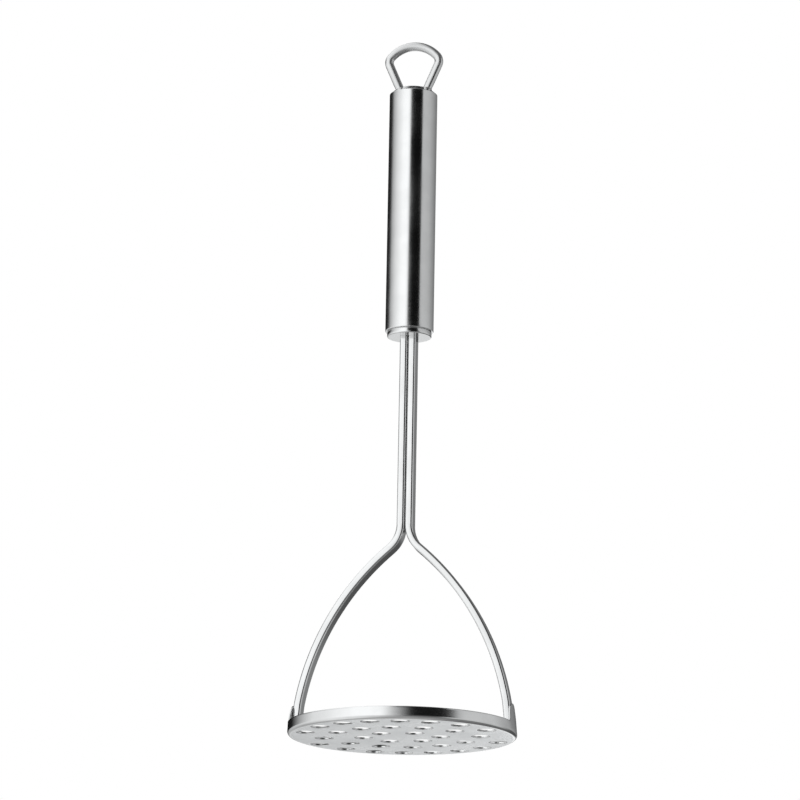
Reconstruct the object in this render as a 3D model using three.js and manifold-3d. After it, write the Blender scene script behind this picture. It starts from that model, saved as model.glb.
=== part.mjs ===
// Stainless potato masher: perforated round dish, two bent flat-bar arms, tubular handle, hanging loop.
// Millimetres, +Z up. The dish rests on Z = 0, the handle axis is the Z axis, the arms lie in the XZ plane.
import * as THREE from 'three';
import { mergeVertices } from 'three/addons/utils/BufferGeometryUtils.js';
import Module from 'manifold-3d';

const GAP = 0.3;                  // clearance kept between touching pieces
const DEG = Math.PI / 180;

// Perforated dish
const DISH_R = 45.6;              // outer radius
const SHEET = 0.8;                // sheet thickness
const RIM_H = 5;                  // height of the upturned rim
const BEND_R = 1.5;               // outer bend between floor and rim
const LIP_R = 0.3;                // rounding of the rim's top edge
const HOLE_D = 7.4;
const EAR_R = 8;                  // half-round ear that carries an arm foot
const EAR_FILLET = 1.5;           // blend between ear and rim
const EAR_LEAN = 6 * DEG;         // ears and rim lean in here, flat against the arm feet
const LEAN_NEAR = 5;              // full lean up to this distance from the XZ plane
const LEAN_FAR = 14;              // none beyond this one
// One quadrant of each hole ring as [angle from +X in degrees, radius], mirrored to the other three.
// The outer ring leaves the arm feet free and the inner rings bulge towards them.
const HOLE_QUADRANT = [
  [22.2, 39.1], [44.6, 39.1], [63.7, 39.1], [81.2, 39.1],
  [0, 31.5], [30, 27], [60, 24.8], [90, 24.6],
  [0, 15.5], [54.7, 11.6],
];

// Arms: flat bar, side by side in the handle, spread by one tight and one wide bend
const BAR_T = 3.1;                // thickness, in the plane of the arms
const BAR_W = 7.5;                // width, along Y
const BAR_EDGE_R = 0.9;           // rounded edges
const PAIR_X = (BAR_T + GAP) / 2;
const SPLIT_Z = 85.8;             // height at which the bars part
const SPLIT_R = 12.55;            // tight bend
const SPREAD = 49.5 * DEG;        // angle the bars reach from the vertical
const SWEEP_R = 106.8;            // wide bend back towards the vertical
const FOOT_R = 14;                // last bend, lays the foot against the ear
const FOOT_Z = SHEET + GAP + (BAR_T / 2) * Math.sin(EAR_LEAN);
const FOOT_X = DISH_R - SHEET - GAP - BAR_T / 2 / Math.cos(EAR_LEAN) + (BEND_R - FOOT_Z) * Math.tan(EAR_LEAN);
const FOOT_WELD = 1.6;            // leg of the fillet weld between foot and dish floor

// Handle
const TUBE_R = 9.8;
const TUBE_WALL = 1;
const TUBE_Z0 = 166.1;
const TUBE_Z1 = 268.7;
const SHOULDER_IN = 2.4;          // conical shoulder at the top of the tube: inset
const SHOULDER_DROP = 2;          // and height
const TOP_CAP_R = 7;
const TOP_CAP_T = 1.5;
const CAP_R = 9;                  // bottom cap, a little smaller than the tube
const CAP_FLANGE = 2;             // its visible thickness
const CAP_EDGE_R = 0.5;
const PLUG_H = 14;                // part of the bottom cap inside the tube

// Hanging loop: thick wire bent to a rounded kite, legs welded on the top cap
const WIRE_A = 3.5;               // in the plane of the loop
const WIRE_B = 3.3;               // along Y
const WIRE_EDGE_R = 1.5;          // nearly round, with a narrow flat on each side
const LOOP_TOP_Z = 289.7;         // outer apex
const LOOP_HALF_W = 12.1;         // outer half width at the shoulders
const CROWN_R = 14.3;             // outer crown radius
const SHOULDER_R = 5.3;           // outer shoulder radius
const LEG_LEAN = 23 * DEG;        // legs against the vertical
const LOOP_WELD_R = 2.75;
const LOOP_WELD_H = 1.3;
const LOOP_WELD_IN = 0.4;         // the weld sits this much towards the middle of the cap

const DISH_SEGMENTS = 96;
const HOLE_SEGMENTS = 18;
const TUBE_SEGMENTS = 56;
const ARM_STEPS = 84;
const LOOP_STEPS = 56;

const wasm = await Module();
wasm.setup();

// Welds the vertices of a geometry and hands it to the solid modeller
function solid(geometry) {
  const bare = geometry.clone();
  bare.deleteAttribute('normal');
  bare.deleteAttribute('uv');
  const { attributes, index } = mergeVertices(bare, 1e-4);
  const triVerts = [];
  for (let i = 0; i < index.count; i += 3) {
    const [a, b, c] = [index.getX(i), index.getX(i + 1), index.getX(i + 2)];
    if (a !== b && b !== c && c !== a) triVerts.push(a, b, c);
  }
  return new wasm.Manifold(new wasm.Mesh({
    numProp: 3,
    vertProperties: new Float32Array(attributes.position.array),
    triVerts: new Uint32Array(triVerts),
  }));
}

function geometryOf(manifold) {
  const { vertProperties, triVerts } = manifold.getMesh();
  const geometry = new THREE.BufferGeometry();
  geometry.setAttribute('position', new THREE.BufferAttribute(new Float32Array(vertProperties), 3));
  geometry.setIndex(new THREE.BufferAttribute(new Uint32Array(triVerts), 1));
  geometry.computeVertexNormals();
  return geometry;
}

// Points of an arc about (x, y) from one angle to another, in degrees
function arc(x, y, radius, from, to, steps = 4) {
  return Array.from({ length: steps + 1 }, (_, i) => {
    const a = (from + ((to - from) * i) / steps) * DEG;
    return [x + radius * Math.cos(a), y + radius * Math.sin(a)];
  });
}

// Body turned about Z from [radius, z] points that run up the outside
function turned(profile, segments) {
  const points = profile.map(([r, z]) => new THREE.Vector2(r, z));
  return solid(new THREE.LatheGeometry(points, segments).rotateX(Math.PI / 2));
}

function outline(points) {
  return new THREE.Shape(points.map(([x, y]) => new THREE.Vector2(x, y)));
}

function roundedSection(width, height, radius, steps = 2) {
  const x = width / 2 - radius;
  const y = height / 2 - radius;
  return outline([
    ...arc(x, y, radius, 0, 90, steps), ...arc(-x, y, radius, 90, 180, steps),
    ...arc(-x, -y, radius, 180, 270, steps), ...arc(x, -y, radius, 270, 360, steps),
  ]);
}

// Path in the XZ plane made of straight lines and circular bends, walked by length
class BentPath extends THREE.Curve {
  constructor(x, z, heading) {
    super();
    this.pieces = [];
    this.total = 0;
    this.end = { x, z, heading };
  }

  line(length) {
    return this.append(length, 0);
  }

  // A positive turn goes from +X towards +Z
  bend(radius, turn) {
    return this.append(radius * Math.abs(turn), turn);
  }

  append(length, turn) {
    const piece = { ...this.end, length, turn, from: this.total };
    this.pieces.push(piece);
    this.total += length;
    this.end = this.locate(piece, length);
    return this;
  }

  locate({ x, z, heading, length, turn }, s) {
    if (turn === 0) return { x: x + s * Math.cos(heading), z: z + s * Math.sin(heading), heading };
    const now = heading + (turn * s) / length;
    const r = length / turn;
    return {
      x: x + r * (Math.sin(now) - Math.sin(heading)),
      z: z - r * (Math.cos(now) - Math.cos(heading)),
      heading: now,
    };
  }

  getPoint(t, target = new THREE.Vector3()) {
    const s = t * this.total;
    const piece = this.pieces.findLast((p) => s >= p.from);
    const { x, z } = this.locate(piece, s - piece.from);
    return target.set(x, 0, z);
  }

  getPointAt(u, target) {
    return this.getPoint(u, target);
  }
}

function swept(section, path, steps) {
  return solid(new THREE.ExtrudeGeometry(section, { steps, bevelEnabled: false, extrudePath: path }));
}

function box(width, depth, height, x, y, z) {
  return solid(new THREE.BoxGeometry(width, depth, height).translate(x, y, z));
}

function dishProfile() {
  const inner = DISH_R - SHEET;
  const bendIn = BEND_R - SHEET;
  return [
    [0, 0],
    ...arc(DISH_R - BEND_R, BEND_R, BEND_R, -90, 0, 4),
    ...arc(DISH_R - LIP_R, RIM_H - LIP_R, LIP_R, 0, 90, 2),
    ...arc(inner + LIP_R, RIM_H - LIP_R, LIP_R, 90, 180, 2),
    ...arc(inner - bendIn, SHEET + bendIn, bendIn, 0, -90, 3),
    [0, SHEET],
  ];
}

// Both ears at once: a tall wall cut to the ears' silhouette seen along X
function ears() {
  const inner = DISH_R - SHEET;
  const low = RIM_H - 2 * LIP_R;
  const top = RIM_H + EAR_R;
  const wall = turned(
    [[inner, low], [DISH_R, low], [DISH_R, top], [inner, top], [inner, low]],
    DISH_SEGMENTS,
  );
  const blendX = Math.sqrt((EAR_R + EAR_FILLET) ** 2 - EAR_FILLET ** 2);
  const meet = Math.atan2(EAR_FILLET, blendX) / DEG;
  const silhouette = outline([
    [-blendX, low], [blendX, low],
    ...arc(blendX, RIM_H + EAR_FILLET, EAR_FILLET, 270, 180 + meet, 4),
    ...arc(0, RIM_H, EAR_R, meet, 180 - meet, 14).slice(1, -1),
    ...arc(-blendX, RIM_H + EAR_FILLET, EAR_FILLET, -meet, -90, 4),
  ]);
  const length = 3 * DISH_R;
  const cutter = new THREE.ExtrudeGeometry(silhouette, { depth: length, bevelEnabled: false })
    .translate(0, 0, -length / 2).rotateX(Math.PI / 2).rotateZ(Math.PI / 2);
  return wall.intersect(solid(cutter));
}

// Leans the ears and the rim beside them towards the middle
function lean(point) {
  const [x, y, z] = point;
  if (z <= BEND_R || Math.abs(x) < DISH_R / 2) return;
  const share = THREE.MathUtils.smoothstep(LEAN_FAR - Math.abs(y), 0, LEAN_FAR - LEAN_NEAR);
  point[0] -= Math.sign(x) * share * (z - BEND_R) * Math.tan(EAR_LEAN);
}

function holeCentres() {
  const centres = new Map();
  for (const [angle, radius] of HOLE_QUADRANT) {
    for (const [sx, sy] of [[1, 1], [-1, 1], [-1, -1], [1, -1]]) {
      const x = sx * radius * Math.cos(angle * DEG);
      const y = sy * radius * Math.sin(angle * DEG);
      centres.set(`${Math.round(x * 10)},${Math.round(y * 10)}`.replaceAll('-0', '0'), [x, y]);
    }
  }
  return [...centres.values()];
}

function dish() {
  const punch = new THREE.CylinderGeometry(HOLE_D / 2, HOLE_D / 2, 4 * SHEET, HOLE_SEGMENTS);
  punch.rotateX(Math.PI / 2);
  return holeCentres().reduce(
    (body, [x, y]) => body.subtract(solid(punch.clone().translate(x, y, 0))),
    turned(dishProfile(), DISH_SEGMENTS).add(ears()).warp(lean),
  );
}

// Right arm, from the foot on the dish floor to the top of the plug in the handle
function armPath() {
  const splitX = PAIR_X + SPLIT_R * (1 - Math.cos(SPREAD));
  const splitZ = SPLIT_Z - SPLIT_R * Math.sin(SPREAD);
  const across = (FOOT_X - splitX) * Math.cos(EAR_LEAN) - (splitZ - FOOT_Z) * Math.sin(EAR_LEAN);
  const footTurn = Math.acos((across + SWEEP_R * Math.cos(SPREAD - EAR_LEAN) - FOOT_R) / (SWEEP_R - FOOT_R));
  const sweepFrom = EAR_LEAN + footTurn;
  const rise = SWEEP_R * (Math.sin(SPREAD) - Math.sin(sweepFrom))
    + FOOT_R * (Math.sin(sweepFrom) - Math.sin(EAR_LEAN));
  return new BentPath(FOOT_X, FOOT_Z, Math.PI / 2 + EAR_LEAN)
    .line((splitZ - FOOT_Z - rise) / Math.cos(EAR_LEAN))
    .bend(FOOT_R, footTurn)
    .bend(SWEEP_R, SPREAD - sweepFrom)
    .bend(SPLIT_R, -SPREAD)
    .line(TUBE_Z0 + PLUG_H - SPLIT_Z);
}

function arm(turn) {
  const section = roundedSection(BAR_W, BAR_T, BAR_EDGE_R, 3);
  return swept(section, armPath(), ARM_STEPS).rotate([0, 0, turn]);
}

// Quarter-round fillet weld across the inner side of an arm foot
function footWeld(turn) {
  const run = BAR_W - 2 * BAR_EDGE_R;
  const section = outline([[0, 0], ...arc(0, 0, FOOT_WELD, 90, 180, 5)]);
  const bead = new THREE.ExtrudeGeometry(section, { depth: run, bevelEnabled: false })
    .translate(0, 0, -run / 2).rotateX(Math.PI / 2)
    .translate(FOOT_X - BAR_T / 2 - 1.5 * GAP, 0, SHEET + GAP);
  return solid(bead).rotate([0, 0, turn]);
}

function handleTube() {
  const inner = TUBE_R - TUBE_WALL;
  const mouth = TOP_CAP_R + GAP;
  const brow = TUBE_R - SHOULDER_IN;
  const slope = SHOULDER_DROP / SHOULDER_IN;
  const under = (r) => TUBE_Z1 - TUBE_WALL * Math.hypot(1, slope) - slope * (r - brow);
  return turned([
    [inner, TUBE_Z0], [TUBE_R, TUBE_Z0],
    [TUBE_R, TUBE_Z1 - SHOULDER_DROP], [brow, TUBE_Z1],
    [mouth, TUBE_Z1], [mouth, under(mouth)],
    [inner, under(inner)], [inner, TUBE_Z0],
  ], TUBE_SEGMENTS);
}

function topCap() {
  const z0 = TUBE_Z1 - TOP_CAP_T;
  return turned([[0, z0], [TOP_CAP_R, z0], [TOP_CAP_R, TUBE_Z1], [0, TUBE_Z1]], TUBE_SEGMENTS);
}

function bottomCap() {
  const flangeTop = TUBE_Z0 - GAP;
  const z0 = flangeTop - CAP_FLANGE;
  const plugR = TUBE_R - TUBE_WALL - GAP;
  const body = turned([
    [0, z0],
    ...arc(CAP_R - CAP_EDGE_R, z0 + CAP_EDGE_R, CAP_EDGE_R, -90, 0, 5),
    [CAP_R, flangeTop], [plugR, flangeTop],
    [plugR, TUBE_Z0 + PLUG_H], [0, TUBE_Z0 + PLUG_H],
  ], TUBE_SEGMENTS);
  const slotX = 2 * (PAIR_X + BAR_T / 2 + GAP);
  return body.subtract(box(slotX, BAR_W + 2 * GAP, 4 * PLUG_H, 0, 0, TUBE_Z0));
}

// Centre line of the loop wire, left leg first
function loopPath() {
  const half = WIRE_A / 2;
  const shoulderX = LOOP_HALF_W - SHOULDER_R;
  const rise = Math.sqrt((CROWN_R - SHOULDER_R) ** 2 - shoulderX ** 2);
  const crown = Math.atan2(shoulderX, rise);
  const kneeX = shoulderX + (SHOULDER_R - half) * Math.cos(LEG_LEAN);
  const kneeZ = LOOP_TOP_Z - CROWN_R + rise - (SHOULDER_R - half) * Math.sin(LEG_LEAN);
  const leg = (kneeZ - TUBE_Z1) / Math.cos(LEG_LEAN);
  const shoulderTurn = Math.PI / 2 + LEG_LEAN - crown;
  return new BentPath(leg * Math.sin(LEG_LEAN) - kneeX, TUBE_Z1, Math.PI / 2 + LEG_LEAN)
    .line(leg)
    .bend(SHOULDER_R - half, -shoulderTurn)
    .bend(CROWN_R - half, -2 * crown)
    .bend(SHOULDER_R - half, -shoulderTurn)
    .line(leg);
}

// The loop, optionally thickened, with its legs cut level above the top cap
function loop(extra = 0) {
  const section = roundedSection(WIRE_B + extra, WIRE_A + extra, WIRE_EDGE_R + extra / 2);
  const wire = swept(section, loopPath(), LOOP_STEPS);
  if (extra) return wire;
  return wire.subtract(box(40, 10, 6, 0, 0, TUBE_Z1 + GAP - 3));
}

function loopWeld(side) {
  const { x } = loopPath().end;
  const z0 = TUBE_Z1 + GAP;
  const dome = turned([
    [0, z0],
    ...arc(LOOP_WELD_R - LOOP_WELD_H, z0, LOOP_WELD_H, 0, 90, 5),
    [0, z0 + LOOP_WELD_H],
  ], 28);
  return dome.translate([side * (x - LOOP_WELD_IN), 0, 0]).subtract(loop(2 * GAP));
}

function steel(color, roughness) {
  return new THREE.MeshStandardMaterial({ color, roughness, metalness: 1 });
}

const polished = steel(0xc9ccd0, 0.12);
const brushed = steel(0xbfc2c6, 0.28);
const weldMetal = steel(0xa7a9ac, 0.45);

function piece(name, manifold, material) {
  const mesh = new THREE.Mesh(geometryOf(manifold), material.clone());
  mesh.name = name;
  return mesh;
}

const masher = new THREE.Group();
masher.name = 'potato_masher';
masher.add(
  piece('masher_dish', dish(), brushed),
  piece('arm_right', arm(0), polished),
  piece('arm_left', arm(180), polished),
  piece('foot_weld_right', footWeld(0), weldMetal),
  piece('foot_weld_left', footWeld(180), weldMetal),
  piece('handle_bottom_cap', bottomCap(), polished),
  piece('handle_tube', handleTube(), polished),
  piece('handle_top_cap', topCap(), brushed),
  piece('hanging_loop', loop(), polished),
  piece('loop_weld_right', loopWeld(1), weldMetal),
  piece('loop_weld_left', loopWeld(-1), weldMetal),
);

export default masher;
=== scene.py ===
# Stainless potato masher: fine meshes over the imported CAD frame, procedural steel and studio.
import math

import bmesh
import bpy
from mathutils import Matrix, Vector
from mathutils.geometry import delaunay_2d_cdt


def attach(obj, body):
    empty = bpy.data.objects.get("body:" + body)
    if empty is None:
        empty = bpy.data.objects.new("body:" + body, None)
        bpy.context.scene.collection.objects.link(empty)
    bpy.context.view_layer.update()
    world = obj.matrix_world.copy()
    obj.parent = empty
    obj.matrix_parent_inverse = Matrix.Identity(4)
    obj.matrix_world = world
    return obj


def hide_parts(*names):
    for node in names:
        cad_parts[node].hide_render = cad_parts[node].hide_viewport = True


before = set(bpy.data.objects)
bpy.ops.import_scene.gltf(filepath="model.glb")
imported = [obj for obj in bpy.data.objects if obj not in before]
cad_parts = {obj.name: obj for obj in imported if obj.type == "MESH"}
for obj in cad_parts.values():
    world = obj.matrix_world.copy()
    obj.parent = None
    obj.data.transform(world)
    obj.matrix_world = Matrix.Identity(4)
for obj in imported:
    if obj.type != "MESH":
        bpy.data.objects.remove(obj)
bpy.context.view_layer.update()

MM = 0.001  # lengths below are in millimetres, as in the CAD

# Dish
DISH_R = 45.6
SHEET = 0.8
RIM_H = 5.0
BEND_R = 1.5
LIP_R = 0.3
HOLE_R = 3.7
HOLE_ROLL = 0.2  # rounding that the punch leaves at the underside
HOLE_BURR = 0.1  # and at the inside
EAR_R = 8.0
EAR_FILLET = 1.5
EAR_LEAN = math.radians(6)  # ears and rim lean in here, flat against the arm feet
LEAN_NEAR = 5.0  # full lean up to this distance from the XZ plane
LEAN_FAR = 14.0  # none beyond this one
# One quadrant of the holes as (degrees from +X, distance), mirrored to the other three
HOLE_QUADRANT = [
    (22.2, 39.1), (44.6, 39.1), (63.7, 39.1), (81.2, 39.1),
    (0.0, 31.5), (30.0, 27.0), (60.0, 24.8), (90.0, 24.6),
    (0.0, 15.5), (54.7, 11.6),
]

# Arms
BAR_T = 3.1  # in the plane of the arms
BAR_W = 7.5  # along Y
BAR_EDGE_R = 0.9
PAIR_X = 1.7
SPLIT_Z = 85.8
SPLIT_R = 12.55
SPREAD = math.radians(49.5)
SWEEP_R = 106.8
FOOT_R = 14.0
FOOT_Z = SHEET + BAR_T / 2 * math.sin(EAR_LEAN)
FOOT_PLAY = 0.05  # between an arm foot and its ear
FOOT_X = (DISH_R - SHEET - BAR_T / 2 / math.cos(EAR_LEAN)
          + (BEND_R - FOOT_Z) * math.tan(EAR_LEAN) - FOOT_PLAY)
FOOT_WELD = 1.8  # leg of the bead between foot and dish floor
FOOT_WELD_SHORT = 0.8  # by which the bead is shorter than the bar is wide
FOOT_WELD_RIPPLE = 0.85  # length of one ripple

# Handle
TUBE_R = 9.8
TUBE_WALL = 1.0
TUBE_Z0 = 166.1
TUBE_Z1 = 268.7
SHOULDER_IN = 2.4
SHOULDER_DROP = 2.0
TUBE_EDGE_R = 0.25
BROW_R = TUBE_R - SHOULDER_IN  # upper edge of the conical shoulder
SHOULDER_SLOPE = SHOULDER_DROP / SHOULDER_IN
TOP_CAP_R = 7.15
TOP_CAP_T = 1.5
TOP_CAP_PLAY = 0.08  # between the top cap and the mouth of the tube
CAP_R = 9.0
CAP_FLANGE = 2.15
CAP_EDGE_R = 0.5
CAP_GAP = 0.15  # shadow gap between the bottom cap and the tube
CAP_EASE = 0.2  # rounding of the upper edge of both caps
PLUG_R = 8.7
PLUG_TOP = 180.1

# Hanging loop
WIRE_A = 3.5
WIRE_B = 3.3
WIRE_EDGE_R = 1.5
LOOP_TOP_Z = 289.7
LOOP_HALF_W = 12.1
CROWN_R = 14.3
SHOULDER_R = 5.3
LEG_LEAN = math.radians(23)
LOOP_WELD_R = 2.65
LOOP_WELD_H = 1.25
LOOP_WELD_IN = 0.4

SLOT_PLAY = 0.04
BAR_END_EASE = 0.3  # rounding of the end faces of bars and wire

# Fineness of the meshes
RIM_STEPS = 118  # from ear to ear
WALL_ROWS = 8
HOLE_STEPS = 48
TUBE_STEPS = 192
WELD_STEPS = 96
LOOP_WELD_STEPS = 72
LINE_STEP = 6.0  # longest step along a straight stretch
BEND_STEP = math.radians(1.5)
MERGE = 1e-8  # metres
SHARP = math.radians(40)  # edges above this angle stay sharp

# Camera
CAMERA_AZIMUTH = math.radians(10.2)
CAMERA_ELEVATION = math.radians(-13.8)
CAMERA_ROLL = math.radians(1.05)
CAMERA_DISTANCE = 1690.0
CAMERA_ASIDE = -3.3  # of the handle's axis, where the camera aims
CAMERA_AIM_Z = 137.7
CAMERA_LENS = 188.1


# ---------------------------------------------------------------- camera

def place_camera():
    """Camera below the dish, looking up, turned a little about its own line of sight."""
    a, e = CAMERA_AZIMUTH, CAMERA_ELEVATION
    back = Vector((math.sin(a) * math.cos(e), -math.cos(a) * math.cos(e), math.sin(e)))
    right = Vector((math.cos(a), math.sin(a), 0))
    up = back.cross(right)
    aim = right * CAMERA_ASIDE + Vector((0, 0, CAMERA_AIM_Z))
    c, s = math.cos(CAMERA_ROLL), math.sin(CAMERA_ROLL)
    axes = Matrix((right * c + up * s, up * c - right * s, back)).transposed()
    data = bpy.data.cameras.new("camera")
    data.lens = CAMERA_LENS
    camera = bpy.data.objects.new("camera", data)
    camera.matrix_world = Matrix.Translation((aim + back * CAMERA_DISTANCE) * MM) @ axes.to_4x4()
    bpy.context.collection.objects.link(camera)
    bpy.context.scene.camera = camera


# ---------------------------------------------------------------- mesh helpers

def arc(x, y, radius, start, end, steps):
    """Points of an arc about (x, y), angles in degrees."""
    angles = [math.radians(start + (end - start) * i / steps) for i in range(steps + 1)]
    return [(x + radius * math.cos(a), y + radius * math.sin(a)) for a in angles]


def mix(a, b, t):
    return a + (b - a) * t


class Builder:
    """Vertices and faces of one piece, in millimetres.

    The first UV coordinate runs along the grain. `finish` is the material index of the faces that
    are added next.
    """

    def __init__(self):
        self.vertices = []
        self.faces = []
        self.uvs = []
        self.finish = 0
        self.finishes = []

    def ring(self, points):
        """Adds the points and returns their indices."""
        first = len(self.vertices)
        self.vertices.extend(points)
        return list(range(first, len(self.vertices)))

    def face(self, corners, uvs=None):
        self.faces.append(tuple(corners))
        self.finishes.append(self.finish)
        self.uvs.append(uvs or [self.vertices[i][:2] for i in corners])

    def skin(self, lower, upper, u, v):
        """Quads between two closed rings; u has one value more than the rings, v one for each."""
        for i in range(len(lower)):
            j = (i + 1) % len(lower)
            self.face(
                (lower[i], lower[j], upper[j], upper[i]),
                [(u[i], v[0]), (u[i + 1], v[0]), (u[i + 1], v[1]), (u[i], v[1])],
            )

    def sheet(self, outer, holes):
        """Flat face between an outer ring and the rings of its round or convex holes."""
        order, edges = [], []
        for ring in (outer, *holes):
            first = len(order)
            order.extend(ring)
            edges.extend((first + i, first + (i + 1) % len(ring)) for i in range(len(ring)))
        points = [Vector(self.vertices[i][:2]) for i in order]
        triangles, origin = [delaunay_2d_cdt(points, edges, [], 1, 1e-6, True)[i] for i in (2, 3)]
        hole_of = {i: n for n, ring in enumerate(holes) for i in ring}
        for triangle in triangles:
            corners = [order[origin[i][0]] for i in triangle]
            holes_met = {hole_of.get(i) for i in corners}
            if len(holes_met) > 1 or None in holes_met:
                self.face(corners)

    def piece(self, name, materials, slot, *nodes):
        """Makes the smooth-shaded object that stands for the CAD nodes."""
        mesh = bpy.data.meshes.new(name)
        mesh.from_pydata([Vector(p) * MM for p in self.vertices], [], self.faces)
        grain = mesh.uv_layers.new(name="grain")
        grain.data.foreach_set("uv", [MM * x for face in self.uvs for uv in face for x in uv])
        mesh.polygons.foreach_set("material_index", self.finishes)
        for material in materials:
            mesh.materials.append(material)
        work = bmesh.new()
        work.from_mesh(mesh)
        bmesh.ops.remove_doubles(work, verts=work.verts, dist=MERGE)
        bmesh.ops.recalc_face_normals(work, faces=work.faces)
        work.to_mesh(mesh)
        work.free()
        mesh.polygons.foreach_set("use_smooth", [True] * len(mesh.polygons))
        mesh.set_sharp_from_angle(angle=SHARP)
        obj = bpy.data.objects.new(name, mesh)
        bpy.context.collection.objects.link(obj)
        obj.modifiers.new("weighted", "WEIGHTED_NORMAL").keep_sharp = True
        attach(obj, "root")
        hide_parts(*nodes)


def turned(builder, profile, segments, closed=True):
    """Surface turned about Z from (radius, z) points. A point on the axis becomes a pole."""
    turns = [2 * math.pi * i / segments for i in range(segments)]
    u = [TUBE_R * 2 * math.pi * i / segments for i in range(segments + 1)]
    rings, lengths = [], [0.0]
    for i, (r, z) in enumerate(profile):
        if i:
            lengths.append(lengths[-1] + math.dist(profile[i - 1], (r, z)))
        if r == 0:
            rings.append(builder.ring([(0, 0, z)]) * segments)
        else:
            rings.append(builder.ring([(r * math.cos(t), r * math.sin(t), z) for t in turns]))
    if closed:
        rings.append(rings[0])
        lengths.append(lengths[-1] + math.dist(profile[-1], profile[0]))
    for i in range(len(rings) - 1):
        lower, upper, v = rings[i], rings[i + 1], lengths[i:i + 2]
        if lower[0] == lower[1] and upper[0] == upper[1]:
            continue
        if lower[0] == lower[1] or upper[0] == upper[1]:
            for k in range(segments):
                j = (k + 1) % segments
                tip = upper if upper[0] == upper[1] else lower
                base = lower if tip is upper else upper
                vb, vt = (v[0], v[1]) if tip is upper else (v[1], v[0])
                builder.face((base[k], base[j], tip[k]), [(u[k], vb), (u[k + 1], vb), (u[k], vt)])
        else:
            builder.skin(lower, upper, u, v)
    return rings


class BentPath:
    """Path in the XZ plane made of lines and bends. A positive turn goes from +X towards +Z."""

    def __init__(self, x, z, heading):
        self.samples = [(x, z, heading, 0.0)]  # the last value is the length so far

    def line(self, length):
        x, z, heading, s = self.samples[-1]
        count = math.ceil(length / LINE_STEP)
        for i in range(1, count + 1):
            d = length * i / count
            self.samples.append((
                x + d * math.cos(heading), z + d * math.sin(heading), heading, s + d,
            ))
        return self

    def bend(self, radius, turn):
        x, z, heading, s = self.samples[-1]
        count = math.ceil(abs(turn) / BEND_STEP)
        r = math.copysign(radius, turn)
        for i in range(1, count + 1):
            h = heading + turn * i / count
            self.samples.append((
                x + r * (math.sin(h) - math.sin(heading)),
                z - r * (math.cos(h) - math.cos(heading)),
                h, s + radius * abs(turn) * i / count,
            ))
        return self


def rounded_rectangle(width, height, radius, steps=7):
    x, y = width / 2 - radius, height / 2 - radius
    return [
        *arc(x, y, radius, 0, 90, steps), *arc(-x, y, radius, 90, 180, steps),
        *arc(-x, -y, radius, 180, 270, steps), *arc(x, -y, radius, 270, 360, steps),
    ]


def swept(builder, path, in_plane, along_y, edge):
    """Bar of rounded section along a path, with eased end faces."""
    total, ease = path.samples[-1][3], BAR_END_EASE
    insets = [(ease * (1 - math.sin(a)), ease * (1 - math.cos(a)))
              for a in (0, math.pi / 6, math.pi / 3, math.pi / 2)]
    stations = [(path.samples[0], along, inset) for inset, along in insets]
    stations += [(s, 0, 0) for s in path.samples if ease < s[3] < total - ease]
    stations += [(path.samples[-1], -along, inset) for inset, along in reversed(insets)]
    before = None
    for (x, z, heading, s), along, inset in stations:
        section = rounded_rectangle(in_plane - 2 * inset, along_y - 2 * inset, edge - inset)
        if before is None:
            u = [0.0]
            for i in range(len(section)):
                u.append(u[-1] + math.dist(section[i - len(section) + 1], section[i]))
        x, z, s = x + along * math.cos(heading), z + along * math.sin(heading), s + along
        ring = builder.ring([
            (x - a * math.sin(heading), b, z + a * math.cos(heading)) for a, b in section
        ])
        if before is None:
            builder.face(ring)
        else:
            lower, last = before
            for i in range(len(ring)):
                j = (i + 1) % len(ring)
                builder.face(
                    (lower[i], ring[i], ring[j], lower[j]),
                    [(last, u[i]), (s, u[i]), (s, u[i + 1]), (last, u[i + 1])],
                )
        before = ring, s
    builder.face(before[0])


# ---------------------------------------------------------------- dish

def ear_outline():
    """The ear's edge as (y, z, normal y, normal z), evenly spread, from -Y to +Y."""
    blend = math.sqrt((EAR_R + EAR_FILLET) ** 2 - EAR_FILLET ** 2)
    meet = math.degrees(math.atan2(EAR_FILLET, blend))
    points = []
    for cx, start, end in ((-blend, -90, -meet), (blend, 180 + meet, 270)):
        side = [(x, z, (cx - x) / EAR_FILLET, (RIM_H + EAR_FILLET - z) / EAR_FILLET)
                for x, z in arc(cx, RIM_H + EAR_FILLET, EAR_FILLET, start, end, 8)]
        points.append(side)
    top = [(x, z, x / EAR_R, (z - RIM_H) / EAR_R)
           for x, z in arc(0, RIM_H, EAR_R, 180 - meet, meet, 44)]
    return points[0] + top[1:-1] + points[1]


def rim_columns():
    """Columns round the rim as (turn, y at the floor, y, z and normal of the top edge).

    The y values are measured along the ear from the turn's direction; plain rim has them at 0.
    """
    outline = ear_outline()
    reach = outline[-1][0]
    half = math.asin(reach / DISH_R)
    plain = [(half + (math.pi - 2 * half) * i / RIM_STEPS) for i in range(1, RIM_STEPS)]
    columns = []
    for side in (0, 1):
        for i, (y, z, ny, nz) in enumerate(outline):
            base = -reach + 2 * reach * i / (len(outline) - 1)
            columns.append((side * math.pi, base, y, z, ny, nz))
        for angle in plain:
            columns.append((side * math.pi + angle, 0.0, 0.0, RIM_H, 0.0, 1.0))
    return columns


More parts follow.
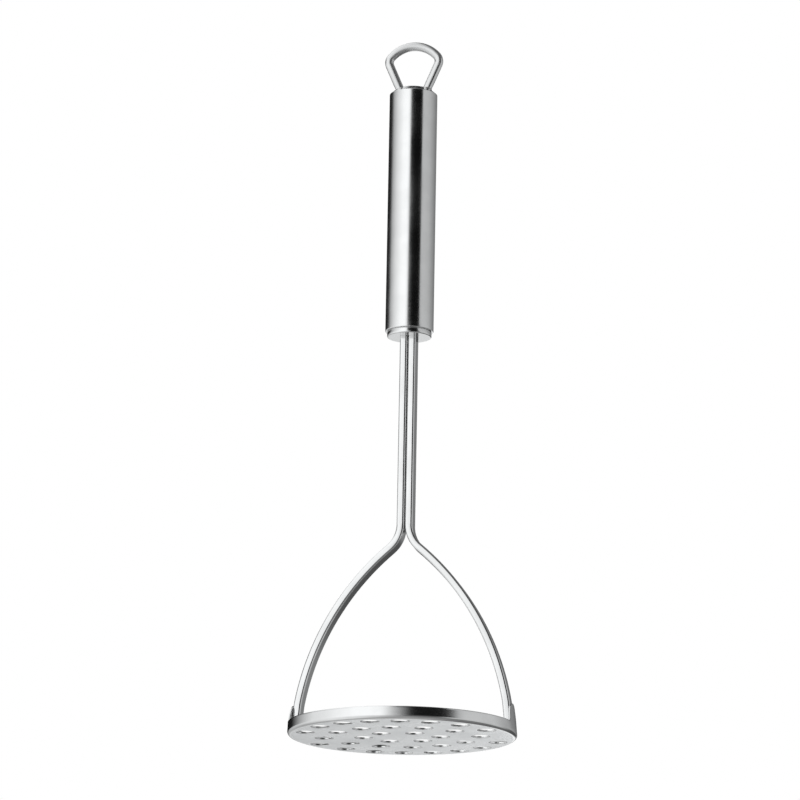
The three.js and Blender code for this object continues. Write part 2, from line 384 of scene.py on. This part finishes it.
def dish():
    """Skin round the rim, closed by two punched sheets; satin floor, rolled rim and hole walls."""
    builder = Builder()
    inner = DISH_R - SHEET
    bend_in = BEND_R - SHEET
    columns = rim_columns()
    outer_bend = arc(DISH_R - BEND_R, BEND_R, BEND_R, -90, 0, 7)
    inner_bend = arc(inner - bend_in, SHEET + bend_in, bend_in, 0, -90, 5)
    lip = [math.radians(x) for x in (0, 30, 60, 90)]

    def place(turn, y, radius, z):
        angle = turn + math.asin(y / DISH_R)
        return radius * math.cos(angle), radius * math.sin(angle), z

    def wall(radius, low, t, column):
        turn, base, y, z, ny, nz = column
        top_y, top_z = y - ny * LIP_R, z - nz * LIP_R
        return place(turn, mix(base, top_y, t), radius, mix(low, top_z, t))

    def edge(radius, a, column):
        turn, _, y, z, ny, nz = column
        back = LIP_R * (1 - math.sin(a))
        return place(turn, y - ny * back, radius, z - nz * back)

    rows = [[place(c[0], c[1], r, z) for c in columns] for r, z in outer_bend]
    rows += [[wall(DISH_R, BEND_R, t / WALL_ROWS, c) for c in columns]
             for t in range(1, WALL_ROWS)]
    rows += [[edge(DISH_R - LIP_R * (1 - math.cos(a)), a, c) for c in columns] for a in lip]
    rows += [[edge(inner + LIP_R * (1 - math.cos(a)), a, c) for c in columns]
             for a in reversed(lip)]
    rows += [[wall(inner, BEND_R, t / WALL_ROWS, c) for c in columns]
             for t in range(WALL_ROWS - 1, 0, -1)]
    rows += [[place(c[0], c[1], r, z) for c in columns] for r, z in inner_bend]
    rows = [[leaned(*p) for p in row] for row in rows]
    rings = [builder.ring(row) for row in rows]
    builder.finish = 1
    angles = [math.atan2(y, x) % (2 * math.pi) for x, y, _ in rows[0]]
    u = [DISH_R * (a if i > len(angles) // 4 or a < math.pi else a - 2 * math.pi)
         for i, a in enumerate(angles)]
    u.append(u[0] + DISH_R * 2 * math.pi)
    length = 0.0
    plain = len(columns) // 3  # a column away from the ears, whose height gives the grain's scale
    for lower, upper, row, following in zip(rings, rings[1:], rows, rows[1:]):
        step = math.dist(row[plain], following[plain])
        builder.skin(lower, upper, u, (length, length + step))
        length += step

    profile = [(HOLE_R + HOLE_ROLL * (1 - math.sin(a)), HOLE_ROLL * (1 - math.cos(a)))
               for a in (0, math.pi / 8, math.pi / 4, 3 * math.pi / 8, math.pi / 2)]
    profile += [(HOLE_R + HOLE_BURR * (1 - math.sin(a)), SHEET - HOLE_BURR * (1 - math.cos(a)))
                for a in (math.pi / 2, math.pi / 3, math.pi / 6, 0)]
    below, above = [], []
    for x, y in hole_centres():
        turns = [2 * math.pi * i / HOLE_STEPS for i in range(HOLE_STEPS)]
        u = [HOLE_R * 2 * math.pi * i / HOLE_STEPS for i in range(HOLE_STEPS + 1)]
        walls = [builder.ring([(x + r * math.cos(t), y + r * math.sin(t), z) for t in turns])
                 for r, z in profile]
        for i in range(len(walls) - 1):
            builder.skin(walls[i], walls[i + 1], u, (profile[i][1], profile[i + 1][1]))
        below.append(walls[0])
        above.append(walls[-1])
    builder.finish = 0
    builder.sheet(rings[0], below)
    builder.sheet(rings[-1], above)
    return builder


def leaned(x, y, z):
    """The ears and the rim beside them lean towards the middle."""
    if z <= BEND_R or abs(x) < DISH_R / 2:
        return x, y, z
    t = min(1.0, max(0.0, (LEAN_FAR - abs(y)) / (LEAN_FAR - LEAN_NEAR)))
    share = t * t * (3 - 2 * t)
    return x - math.copysign(share * (z - BEND_R) * math.tan(EAR_LEAN), x), y, z


def hole_centres():
    """Centres of all holes, each once, although holes on an axis are mirrored onto themselves."""
    centres = {}
    for angle, radius in HOLE_QUADRANT:
        x, y = radius * math.cos(math.radians(angle)), radius * math.sin(math.radians(angle))
        for sx, sy in ((1, 1), (-1, 1), (-1, -1), (1, -1)):
            centres[(round(sx * x * 10), round(sy * y * 10))] = (sx * x, sy * y)
    return list(centres.values())


# ---------------------------------------------------------------- arms

def arm_path():
    """Right arm, from its foot on the dish floor to the top of the plug in the handle."""
    split_x = PAIR_X + SPLIT_R * (1 - math.cos(SPREAD))
    split_z = SPLIT_Z - SPLIT_R * math.sin(SPREAD)
    across = (FOOT_X - split_x) * math.cos(EAR_LEAN) - (split_z - FOOT_Z) * math.sin(EAR_LEAN)
    foot_turn = math.acos(
        (across + SWEEP_R * math.cos(SPREAD - EAR_LEAN) - FOOT_R) / (SWEEP_R - FOOT_R))
    sweep_from = EAR_LEAN + foot_turn
    rise = SWEEP_R * (math.sin(SPREAD) - math.sin(sweep_from))
    rise += FOOT_R * (math.sin(sweep_from) - math.sin(EAR_LEAN))
    path = BentPath(FOOT_X, FOOT_Z, math.pi / 2 + EAR_LEAN)
    path.line((split_z - FOOT_Z - rise) / math.cos(EAR_LEAN))
    path.bend(FOOT_R, foot_turn).bend(SWEEP_R, SPREAD - sweep_from)
    return path.bend(SPLIT_R, -SPREAD).line(PLUG_TOP - SPLIT_Z)


def arm(side):
    builder = Builder()
    swept(builder, arm_path(), BAR_T, BAR_W, BAR_EDGE_R)
    builder.vertices = [(side * x, y, z) for x, y, z in builder.vertices]
    return builder


def foot_weld(side):
    """Rippled convex bead along the inner side of an arm foot, fading out at both ends."""
    builder = Builder()
    corner = FOOT_X - BAR_T / 2
    run = BAR_W - FOOT_WELD_SHORT
    before = None
    for i in range(WELD_STEPS + 1):
        t = i / WELD_STEPS
        y = run * (t - 0.5)
        fade = min(1.0, math.sqrt(max(0.0, 1 - abs(2 * t - 1) ** 6)) + 0.02)
        ripple = 0.05 * math.sin(2 * math.pi * y / FOOT_WELD_RIPPLE)
        size = FOOT_WELD * fade * (1 + ripple * fade)
        belly = [(corner - size * math.sin(a), SHEET + size * math.cos(a))
                 for a in (math.pi / 2 * k / 8 for k in range(9))]
        section = [(corner, SHEET), *belly]
        ring = builder.ring([(side * x, y, z) for x, z in section])
        if before is None:
            builder.face(ring)
        else:
            u = list(range(len(section) + 1))
            builder.skin(before, ring, u, (y, y + 0.1))
        before = ring
    builder.face(before)
    return builder


# ---------------------------------------------------------------- handle

def handle_tube():
    """Tube closed by a conical shoulder, both of whose edges are slightly broken."""
    builder = Builder()
    inner = TUBE_R - TUBE_WALL
    mouth = TOP_CAP_R + TOP_CAP_PLAY
    foot_z = TUBE_Z1 - SHOULDER_DROP

    def under(r):
        wall = TUBE_WALL * math.hypot(1, SHOULDER_SLOPE)
        return TUBE_Z1 - wall - SHOULDER_SLOPE * (r - BROW_R)

    turned(builder, [
        (inner, TUBE_Z0), *arc(TUBE_R - TUBE_EDGE_R, TUBE_Z0 + TUBE_EDGE_R, TUBE_EDGE_R, -90, 0, 4),
        (TUBE_R, TUBE_Z0 + 2), (TUBE_R, foot_z - 2), (TUBE_R, foot_z - 0.1),
        (TUBE_R - 0.03, foot_z + 0.03), (TUBE_R - 0.12, foot_z + 0.107),
        (BROW_R + 0.12, TUBE_Z1 - 0.107), (BROW_R + 0.02, TUBE_Z1 - 0.03),
        (BROW_R - 0.08, TUBE_Z1), (mouth, TUBE_Z1 - 0.05),
        (mouth, under(mouth)), (inner, under(inner)),
    ], TUBE_STEPS)
    return builder


def handle_top_cap():
    builder = Builder()
    z0 = TUBE_Z1 - TOP_CAP_T
    turned(builder, [
        (0, z0), (TOP_CAP_R, z0),
        *arc(TOP_CAP_R - CAP_EASE, TUBE_Z1 - CAP_EASE, CAP_EASE, 0, 90, 3), (0, TUBE_Z1),
    ], TUBE_STEPS, closed=False)
    return builder


def handle_bottom_cap():
    """Rounded cap below the tube, with its plug and the slot that both bars pass through."""
    builder = Builder()
    z0 = TUBE_Z0 - CAP_FLANGE - CAP_GAP
    flange_top = TUBE_Z0 - CAP_GAP
    rings = turned(builder, [
        *arc(CAP_R - CAP_EDGE_R, z0 + CAP_EDGE_R, CAP_EDGE_R, -90, 0, 8),
        *arc(CAP_R - CAP_EASE, flange_top - CAP_EASE, CAP_EASE, 0, 90, 3),
        (PLUG_R, flange_top), (PLUG_R, PLUG_TOP),
    ], TUBE_STEPS, closed=False)
    reach = 2 * (PAIR_X + BAR_T / 2 + SLOT_PLAY)
    slot = rounded_rectangle(reach, BAR_W + 2 * SLOT_PLAY, BAR_EDGE_R + SLOT_PLAY)
    levels = [builder.ring([(x, y, z) for x, y in slot]) for z in (z0, PLUG_TOP)]
    builder.skin(levels[0], levels[1], list(range(len(slot) + 1)), (z0, PLUG_TOP))
    builder.sheet(rings[0], [levels[0]])
    builder.sheet(rings[-1], [levels[1]])
    return builder


# ---------------------------------------------------------------- hanging loop

def loop_path():
    """Centre line of the wire, left leg first."""
    half = WIRE_A / 2
    shoulder_x = LOOP_HALF_W - SHOULDER_R
    rise = math.sqrt((CROWN_R - SHOULDER_R) ** 2 - shoulder_x ** 2)
    crown = math.atan2(shoulder_x, rise)
    knee_x = shoulder_x + (SHOULDER_R - half) * math.cos(LEG_LEAN)
    knee_z = LOOP_TOP_Z - CROWN_R + rise - (SHOULDER_R - half) * math.sin(LEG_LEAN)
    leg = (knee_z - TUBE_Z1) / math.cos(LEG_LEAN)
    shoulder_turn = math.pi / 2 + LEG_LEAN - crown
    path = BentPath(leg * math.sin(LEG_LEAN) - knee_x, TUBE_Z1, math.pi / 2 + LEG_LEAN)
    path.line(leg).bend(SHOULDER_R - half, -shoulder_turn).bend(CROWN_R - half, -2 * crown)
    return path.bend(SHOULDER_R - half, -shoulder_turn).line(leg)


def hanging_loop():
    """The wire loop; the ends of its legs are levelled where they stand on the top cap."""
    builder = Builder()
    swept(builder, loop_path(), WIRE_A, WIRE_B, WIRE_EDGE_R)
    builder.vertices = [(x, y, max(z, TUBE_Z1)) for x, y, z in builder.vertices]
    return builder


def loop_weld(side):
    """Low rippled dome round the foot of a loop leg, running down over the edge of the shoulder."""
    builder = Builder()
    centre = side * (abs(loop_path().samples[0][0]) - LOOP_WELD_IN)
    steps = LOOP_WELD_STEPS
    turns = [2 * math.pi * i / steps for i in range(steps)]
    ripple = [1 + 0.03 * math.sin(13 * t) + 0.02 * math.sin(5 * t + 1) for t in turns]
    profile = arc(LOOP_WELD_R - LOOP_WELD_H, TUBE_Z1, LOOP_WELD_H, 0, 90, 7)
    before = None
    u = [LOOP_WELD_R * 2 * math.pi * i / steps for i in range(steps + 1)]
    for r, z in profile:
        ring = builder.ring([
            (centre + r * k * math.cos(t), r * k * math.sin(t), z) for t, k in zip(turns, ripple)
        ])
        if before is None:
            builder.face(ring)
        else:
            builder.skin(before, ring, u, (z, z + 0.2))
        before = ring
    builder.face(before)
    builder.vertices = [
        (x, y, z - SHOULDER_SLOPE * max(0.0, math.hypot(x, y) - BROW_R))
        for x, y, z in builder.vertices
    ]
    return builder


# ---------------------------------------------------------------- materials

# Waves per metre along and across the grain, then the turn against it
GRAIN_FINE = (220, 7500)
GRAIN_BROAD = (60, 1600)
SCRATCH_LONG = (90, 2600, math.radians(24))
SCRATCH_CROSS = (2100, 80, math.radians(-12))
# Waves per metre in all directions
WORN_PATCHES = 55
SHADE_PATCHES = 120
HEAT_SPOTS = 420
SHADE_DARK = 0.955  # colour of the darker patches against the lighter ones


class Nodes:
    """Short-hand for building a node tree."""

    def __init__(self, tree):
        self.tree = tree
        tree.nodes.clear()

    def add(self, kind, inputs=None, **settings):
        node = self.tree.nodes.new(kind)
        for name, value in settings.items():
            setattr(node, name, value)
        for name, value in (inputs or {}).items():
            if isinstance(value, bpy.types.NodeSocket):
                self.tree.links.new(value, node.inputs[name])
            else:
                node.inputs[name].default_value = value
        return node

    def math(self, operation, *values):
        return self.add("ShaderNodeMath", dict(enumerate(values)), operation=operation).outputs[0]

    def mix(self, factor, a, b):
        node = self.add("ShaderNodeMix", {0: factor, 6: a, 7: b}, data_type="RGBA")
        return node.outputs[2]

    def spread(self, value, low, high, to_low, to_high):
        """Smooth step of the value from low to high."""
        node = self.add("ShaderNodeMapRange", {
            "Value": value, "From Min": low, "From Max": high, "To Min": to_low, "To Max": to_high,
        }, interpolation_type="SMOOTHSTEP")
        return node.outputs[0]

    def noise(self, vector, scale, detail=2.0):
        node = self.add("ShaderNodeTexNoise", {"Vector": vector, "Scale": scale, "Detail": detail})
        return node.outputs[0]

    def stretched(self, vector, along, across, turn=0.0):
        node = self.add("ShaderNodeMapping", {
            "Vector": vector, "Rotation": (0, 0, turn), "Scale": (along, across, 1),
        })
        return node.outputs[0]


def steel(name, color, roughness, grain_depth, smudge=0.05, scratch=0.0, tint=None):
    """Stainless steel with a fine grain and hand-worn patches.

    `grain_depth` is in metres, `scratch` roughens crossing scratches, and `tint` is the heat
    colour that shows in spots.
    """
    material = bpy.data.materials.new(name)
    material.use_nodes = True
    n = Nodes(material.node_tree)
    grain = n.add("ShaderNodeUVMap", uv_map="grain").outputs[0]
    place = n.add("ShaderNodeTexCoord").outputs["Object"]

    fine = n.noise(n.stretched(grain, *GRAIN_FINE), 1, 3)
    broad = n.noise(n.stretched(grain, *GRAIN_BROAD), 1, 2)
    height = n.math("ADD", fine, n.math("MULTIPLY", broad, 0.7))
    patches = n.noise(place, WORN_PATCHES, 3)
    rough = n.spread(patches, 0.3, 0.7, roughness - smudge * 0.5, roughness + smudge)
    rough = n.math("ADD", rough, n.spread(fine, 0.3, 0.7, -0.02, 0.02))
    if scratch:
        marks = n.noise(n.stretched(grain, *SCRATCH_LONG), 1, 1)
        lines = n.spread(marks, 0.70, 0.76, 0, 1)
        crossing = n.noise(n.stretched(grain, *SCRATCH_CROSS), 1, 1)
        lines = n.math("ADD", lines, n.spread(crossing, 0.71, 0.77, 0, 1))
        height = n.math("SUBTRACT", height, n.math("MULTIPLY", lines, 1.5))
        rough = n.math("ADD", rough, n.math("MULTIPLY", lines, scratch))
    shade = n.noise(place, SHADE_PATCHES, 2)
    dark = [c * SHADE_DARK for c in color]
    colour = n.mix(n.spread(shade, 0.35, 0.65, 0, 1), (*dark, 1), (*color, 1))
    if tint:
        spots = n.spread(n.noise(place, HEAT_SPOTS, 2), 0.4, 0.62, 0, 0.65)
        colour = n.mix(spots, colour, (*tint, 1))
    bump = n.add("ShaderNodeBump", {
        "Strength": 1.0, "Distance": grain_depth, "Height": height,
    }).outputs[0]
    shader = n.add("ShaderNodeBsdfPrincipled", {
        "Base Color": colour, "Metallic": 1.0, "Roughness": rough, "Normal": bump,
    })
    n.add("ShaderNodeOutputMaterial", {"Surface": shader.outputs[0]})
    return material


# ---------------------------------------------------------------- surroundings

def linear(level):
    """Light that shows as this 0-255 level after the display curve."""
    x = level / 255
    return ((x + 0.055) / 1.055) ** 2.4 if x > 0.04045 else x / 12.92


def band(n, azimuth, stops):
    """Light along the horizon by direction, from (degrees right of the camera, level) stops."""
    node = n.add("ShaderNodeValToRGB", {0: azimuth})
    elements = node.color_ramp.elements
    while len(elements) < len(stops):
        elements.new(0.5)
    for element, (degrees, level) in zip(elements, stops):
        element.position = (degrees + 180) / 360
        v = linear(level)
        element.color = (*(v * tint for tint in LIGHT_TINT), 1)
    return node.outputs[0]


# Studio light as the polished steel shows it: (degrees right of the camera, level) all round the
# horizon, one list for each height. They were set by comparing the render with the photograph.
LIGHT_DOWN = [
    (-180, 185), (-150, 150), (-90, 225), (-40, 205), (-5, 150), (15, 115), (60, 120),
    (140, 95), (165, 100), (175, 170), (180, 185),
]
LIGHT_LOW = [
    (-180, 205), (-165, 160), (-150, 175), (-110, 215), (-60, 235), (-20, 225), (-4, 150),
    (5, 70), (36, 75), (52, 190), (115, 180), (140, 80), (166, 70), (172, 240), (176, 240),
    (180, 205),
]
LIGHT_TABLE = [
    (-180, 15), (-145, 15), (-136, 100), (-124, 165), (-112, 200), (-100, 222), (-77, 235),
    (-59, 250), (-21, 250), (-11, 200), (-1, 140), (7, 40), (11, 12), (45, 12), (50, 70),
    (58, 178), (64, 192), (102, 190), (120, 165), (139, 150), (152, 125), (170, 90), (176, 60),
    (180, 15),
]
LIGHT_LEVEL = [
    (-180, 60), (-170, 30), (-128, 30), (-118, 80), (-105, 160), (-80, 212), (-45, 250),
    (-24, 254), (-15, 235), (-8, 80), (-3, 16), (0, 10), (38, 10), (45, 60), (49, 182),
    (60, 182), (90, 172), (125, 140), (145, 118), (155, 120), (180, 60),
]
LIGHT_HIGH = [
    (-180, 12), (-170, 14), (-164, 235), (-120, 240), (-50, 250), (-20, 220), (10, 90),
    (60, 80), (120, 115), (150, 145), (160, 125), (165, 20), (180, 12),
]
# Z of the direction at which each list gives way to the one above it
LIGHT_BLENDS = [(-0.5, -0.3), (-0.09, 0.03), (0.19, 0.25), (0.42, 0.62)]
LIGHT_TINT = (0.985, 1, 1.005)
NADIR_BLEND = (-0.97, -0.85)  # and at which the light from straight below takes over
NADIR_LIGHT = 0.3
STUDIO_STRENGTH = 1.27

FLOOR_HALF = 6.0  # metres
FLOOR_WHITE = 0.93
FLOOR_GLOW = 0.36


def surroundings():
    """World that lights the tool by direction, with a white backdrop for the camera."""
    world = bpy.data.worlds.new("studio")
    bpy.context.scene.world = world
    world.use_nodes = True
    n = Nodes(world.node_tree)
    direction = n.add("ShaderNodeTexCoord").outputs["Generated"]
    turned_view = n.add("ShaderNodeVectorRotate", {
        "Vector": direction, "Angle": -CAMERA_AZIMUTH,
    }, rotation_type="Z_AXIS").outputs[0]
    x, y, z = n.add("ShaderNodeSeparateXYZ", {0: turned_view}).outputs
    azimuth = n.math("ARCTAN2", x, n.math("MULTIPLY", y, -1))
    azimuth = n.math("ADD", n.math("DIVIDE", azimuth, 2 * math.pi), 0.5)

    bands = [LIGHT_DOWN, LIGHT_LOW, LIGHT_TABLE, LIGHT_LEVEL, LIGHT_HIGH]
    light, *above = (band(n, azimuth, stops) for stops in bands)
    for upper, blend in zip(above, LIGHT_BLENDS):
        light = n.mix(n.spread(z, *blend, 0, 1), light, upper)
    nadir = n.spread(z, *NADIR_BLEND, 1, 0)
    light = n.mix(nadir, light, (NADIR_LIGHT, NADIR_LIGHT, NADIR_LIGHT, 1))
    studio = n.add("ShaderNodeBackground", {"Color": light, "Strength": STUDIO_STRENGTH})
    backdrop = n.add("ShaderNodeBackground", {"Color": (1, 1, 1, 1), "Strength": 1.0})
    seen = n.add("ShaderNodeLightPath").outputs["Is Camera Ray"]
    both = n.add("ShaderNodeMixShader", {0: seen, 1: studio.outputs[0], 2: backdrop.outputs[0]})
    n.add("ShaderNodeOutputWorld", {"Surface": both.outputs[0]})
    bpy.context.scene.view_settings.view_transform = "Standard"


def floor():
    """Pale floor, seen from above only, so that a camera below it looks up at the dish.

    The steel doesn't reflect it and it casts no shadow.
    """
    half = FLOOR_HALF
    mesh = bpy.data.meshes.new("floor")
    mesh.from_pydata([(-half, -half, 0), (half, -half, 0), (half, half, 0), (-half, half, 0)],
                     [], [(0, 1, 2, 3)])
    obj = bpy.data.objects.new("floor", mesh)
    bpy.context.collection.objects.link(obj)
    material = bpy.data.materials.new("floor")
    material.use_nodes = True
    n = Nodes(material.node_tree)
    white = (FLOOR_WHITE, FLOOR_WHITE, FLOOR_WHITE, 1)
    matt = n.add("ShaderNodeBsdfDiffuse", {"Color": white})
    glow = n.add("ShaderNodeEmission", {"Color": (1, 1, 1, 1), "Strength": FLOOR_GLOW})
    pale = n.add("ShaderNodeAddShader", {0: matt.outputs[0], 1: glow.outputs[0]})
    clear = n.add("ShaderNodeBsdfTransparent")
    behind = n.add("ShaderNodeNewGeometry").outputs["Backfacing"]
    both = n.add("ShaderNodeMixShader", {0: behind, 1: pale.outputs[0], 2: clear.outputs[0]})
    n.add("ShaderNodeOutputMaterial", {"Surface": both.outputs[0]})
    mesh.materials.append(material)
    obj.visible_diffuse = obj.visible_glossy = obj.visible_transmission = False
    obj.visible_shadow = False


# ---------------------------------------------------------------- the tool

place_camera()
surroundings()
floor()

polished = steel("polished_steel", (0.80, 0.80, 0.80), 0.15, 4e-7)
satin = steel("satin_steel", (0.76, 0.765, 0.77), 0.29, 3e-6, scratch=0.12)
rolled = steel("rolled_steel", (0.80, 0.80, 0.80), 0.15, 4e-7, smudge=0.02)
wire = steel("wire_steel", (0.71, 0.71, 0.71), 0.26, 6e-7)
weld = steel("weld_metal", (0.63, 0.63, 0.64), 0.42, 6e-6, tint=(0.60, 0.52, 0.40))

dish().piece("dish", [satin, rolled], "satin_steel", "masher_dish")
arm(1).piece("arm_bar_right", [polished], "polished_steel", "arm_right")
arm(-1).piece("arm_bar_left", [polished], "polished_steel", "arm_left")
foot_weld(1).piece("foot_bead_right", [weld], "weld_metal", "foot_weld_right")
foot_weld(-1).piece("foot_bead_left", [weld], "weld_metal", "foot_weld_left")
handle_bottom_cap().piece("bottom_cap", [polished], "polished_steel", "handle_bottom_cap")
handle_tube().piece("tube", [polished], "polished_steel", "handle_tube")
handle_top_cap().piece("top_cap", [satin], "satin_steel", "handle_top_cap")
hanging_loop().piece("loop", [wire], "polished_steel", "hanging_loop")
loop_weld(1).piece("loop_bead_right", [weld], "weld_metal", "loop_weld_right")
loop_weld(-1).piece("loop_bead_left", [weld], "weld_metal", "loop_weld_left")
